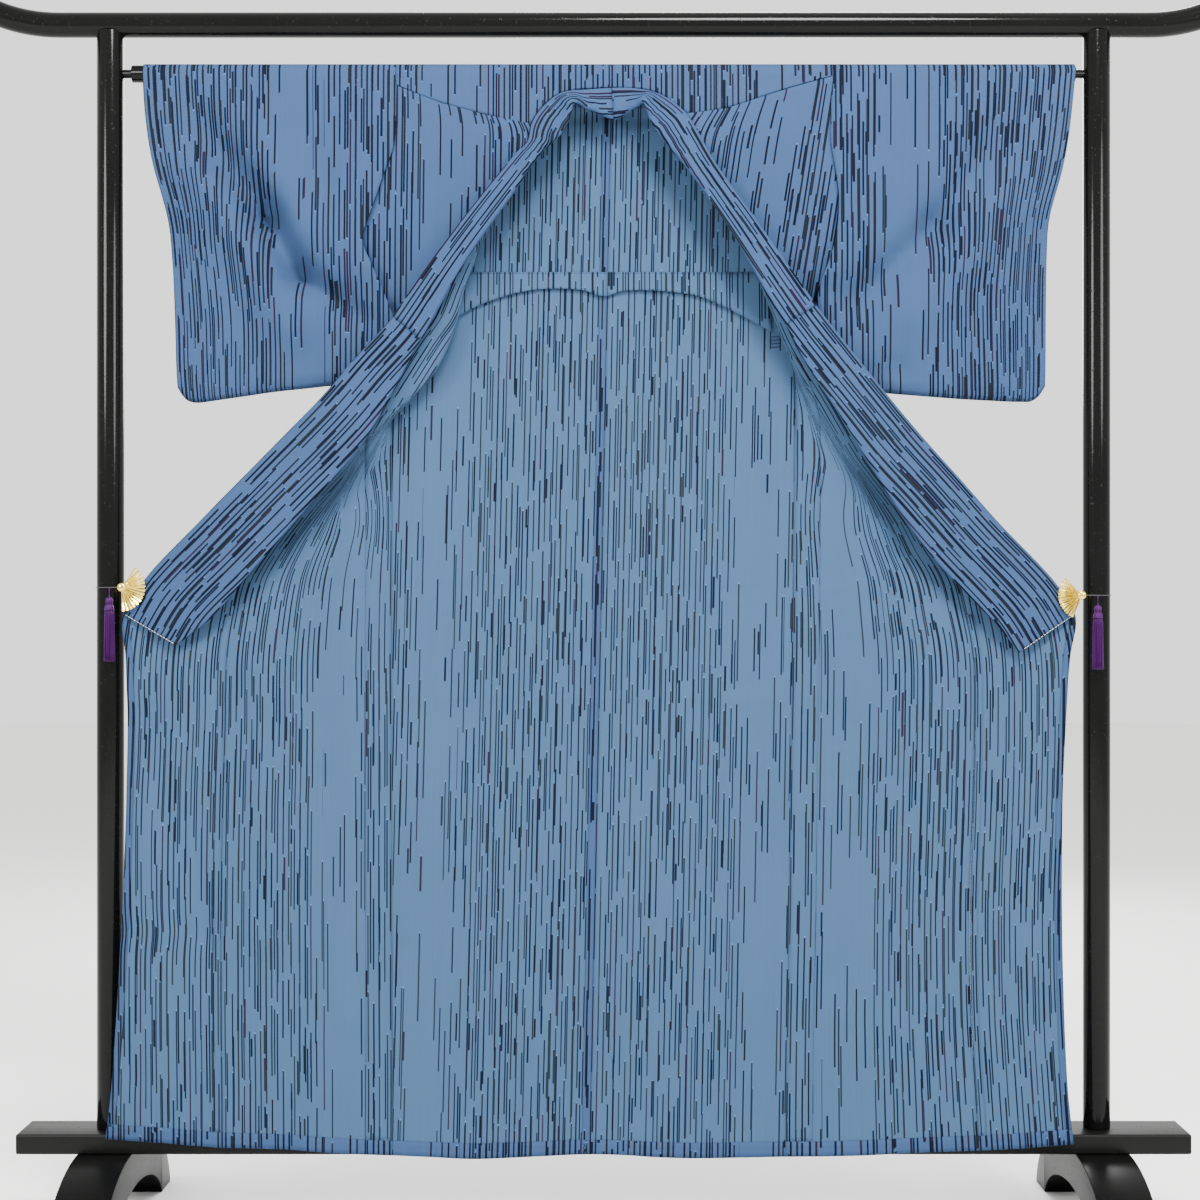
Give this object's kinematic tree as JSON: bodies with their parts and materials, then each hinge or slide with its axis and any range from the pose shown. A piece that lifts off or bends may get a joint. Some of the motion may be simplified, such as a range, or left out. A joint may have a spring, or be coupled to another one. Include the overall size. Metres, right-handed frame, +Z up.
{
  "type": "komon kimono on kimono stand",
  "caption": "Unlined komon kimono hung open on a lacquered kimono stand, its sleeves along the rod and its fronts drawn aside by fan clips.",
  "frame": {"origin": "on the floor under the middle of the stand", "axes": "+X along the rod to the viewer's right, +Y from the open fronts towards the back, +Z up"},
  "size_m": [1.8312, 0.46, 1.7505],
  "materials": {
    "cloth": "thin plain-weave kimono cloth with broken vertical stripes, paler on the wrong side",
    "lacquer": "black lacquered wood, smooth and glossy",
    "brass": "polished gilt brass leaf",
    "cord": "thin twisted black cord",
    "tassel": "purple rayon tassel threads with a soft sheen"
  },
  "bodies": {
    "root": {"back_left": "cloth", "back_right": "cloth", "back_tuck_left": "cloth", "back_tuck_right": "cloth", "front_left": "cloth", "front_right": "cloth", "okumi_left": "cloth", "okumi_right": "cloth", "sleeve_left": "cloth", "sleeve_right": "cloth", "collar_left": "cloth", "collar_right": "cloth", "over_collar_left": "cloth", "over_collar_right": "cloth", "clip_left": "brass", "clip_right": "brass", "cord_left": "cord", "cord_right": "cord", "tassel_left": "tassel", "tassel_right": "tassel", "rail": "lacquer", "rod": "lacquer", "board": "lacquer", "post_left": "lacquer", "post_right": "lacquer", "foot_left": "lacquer", "foot_right": "lacquer"}
  },
  "joints": []
}
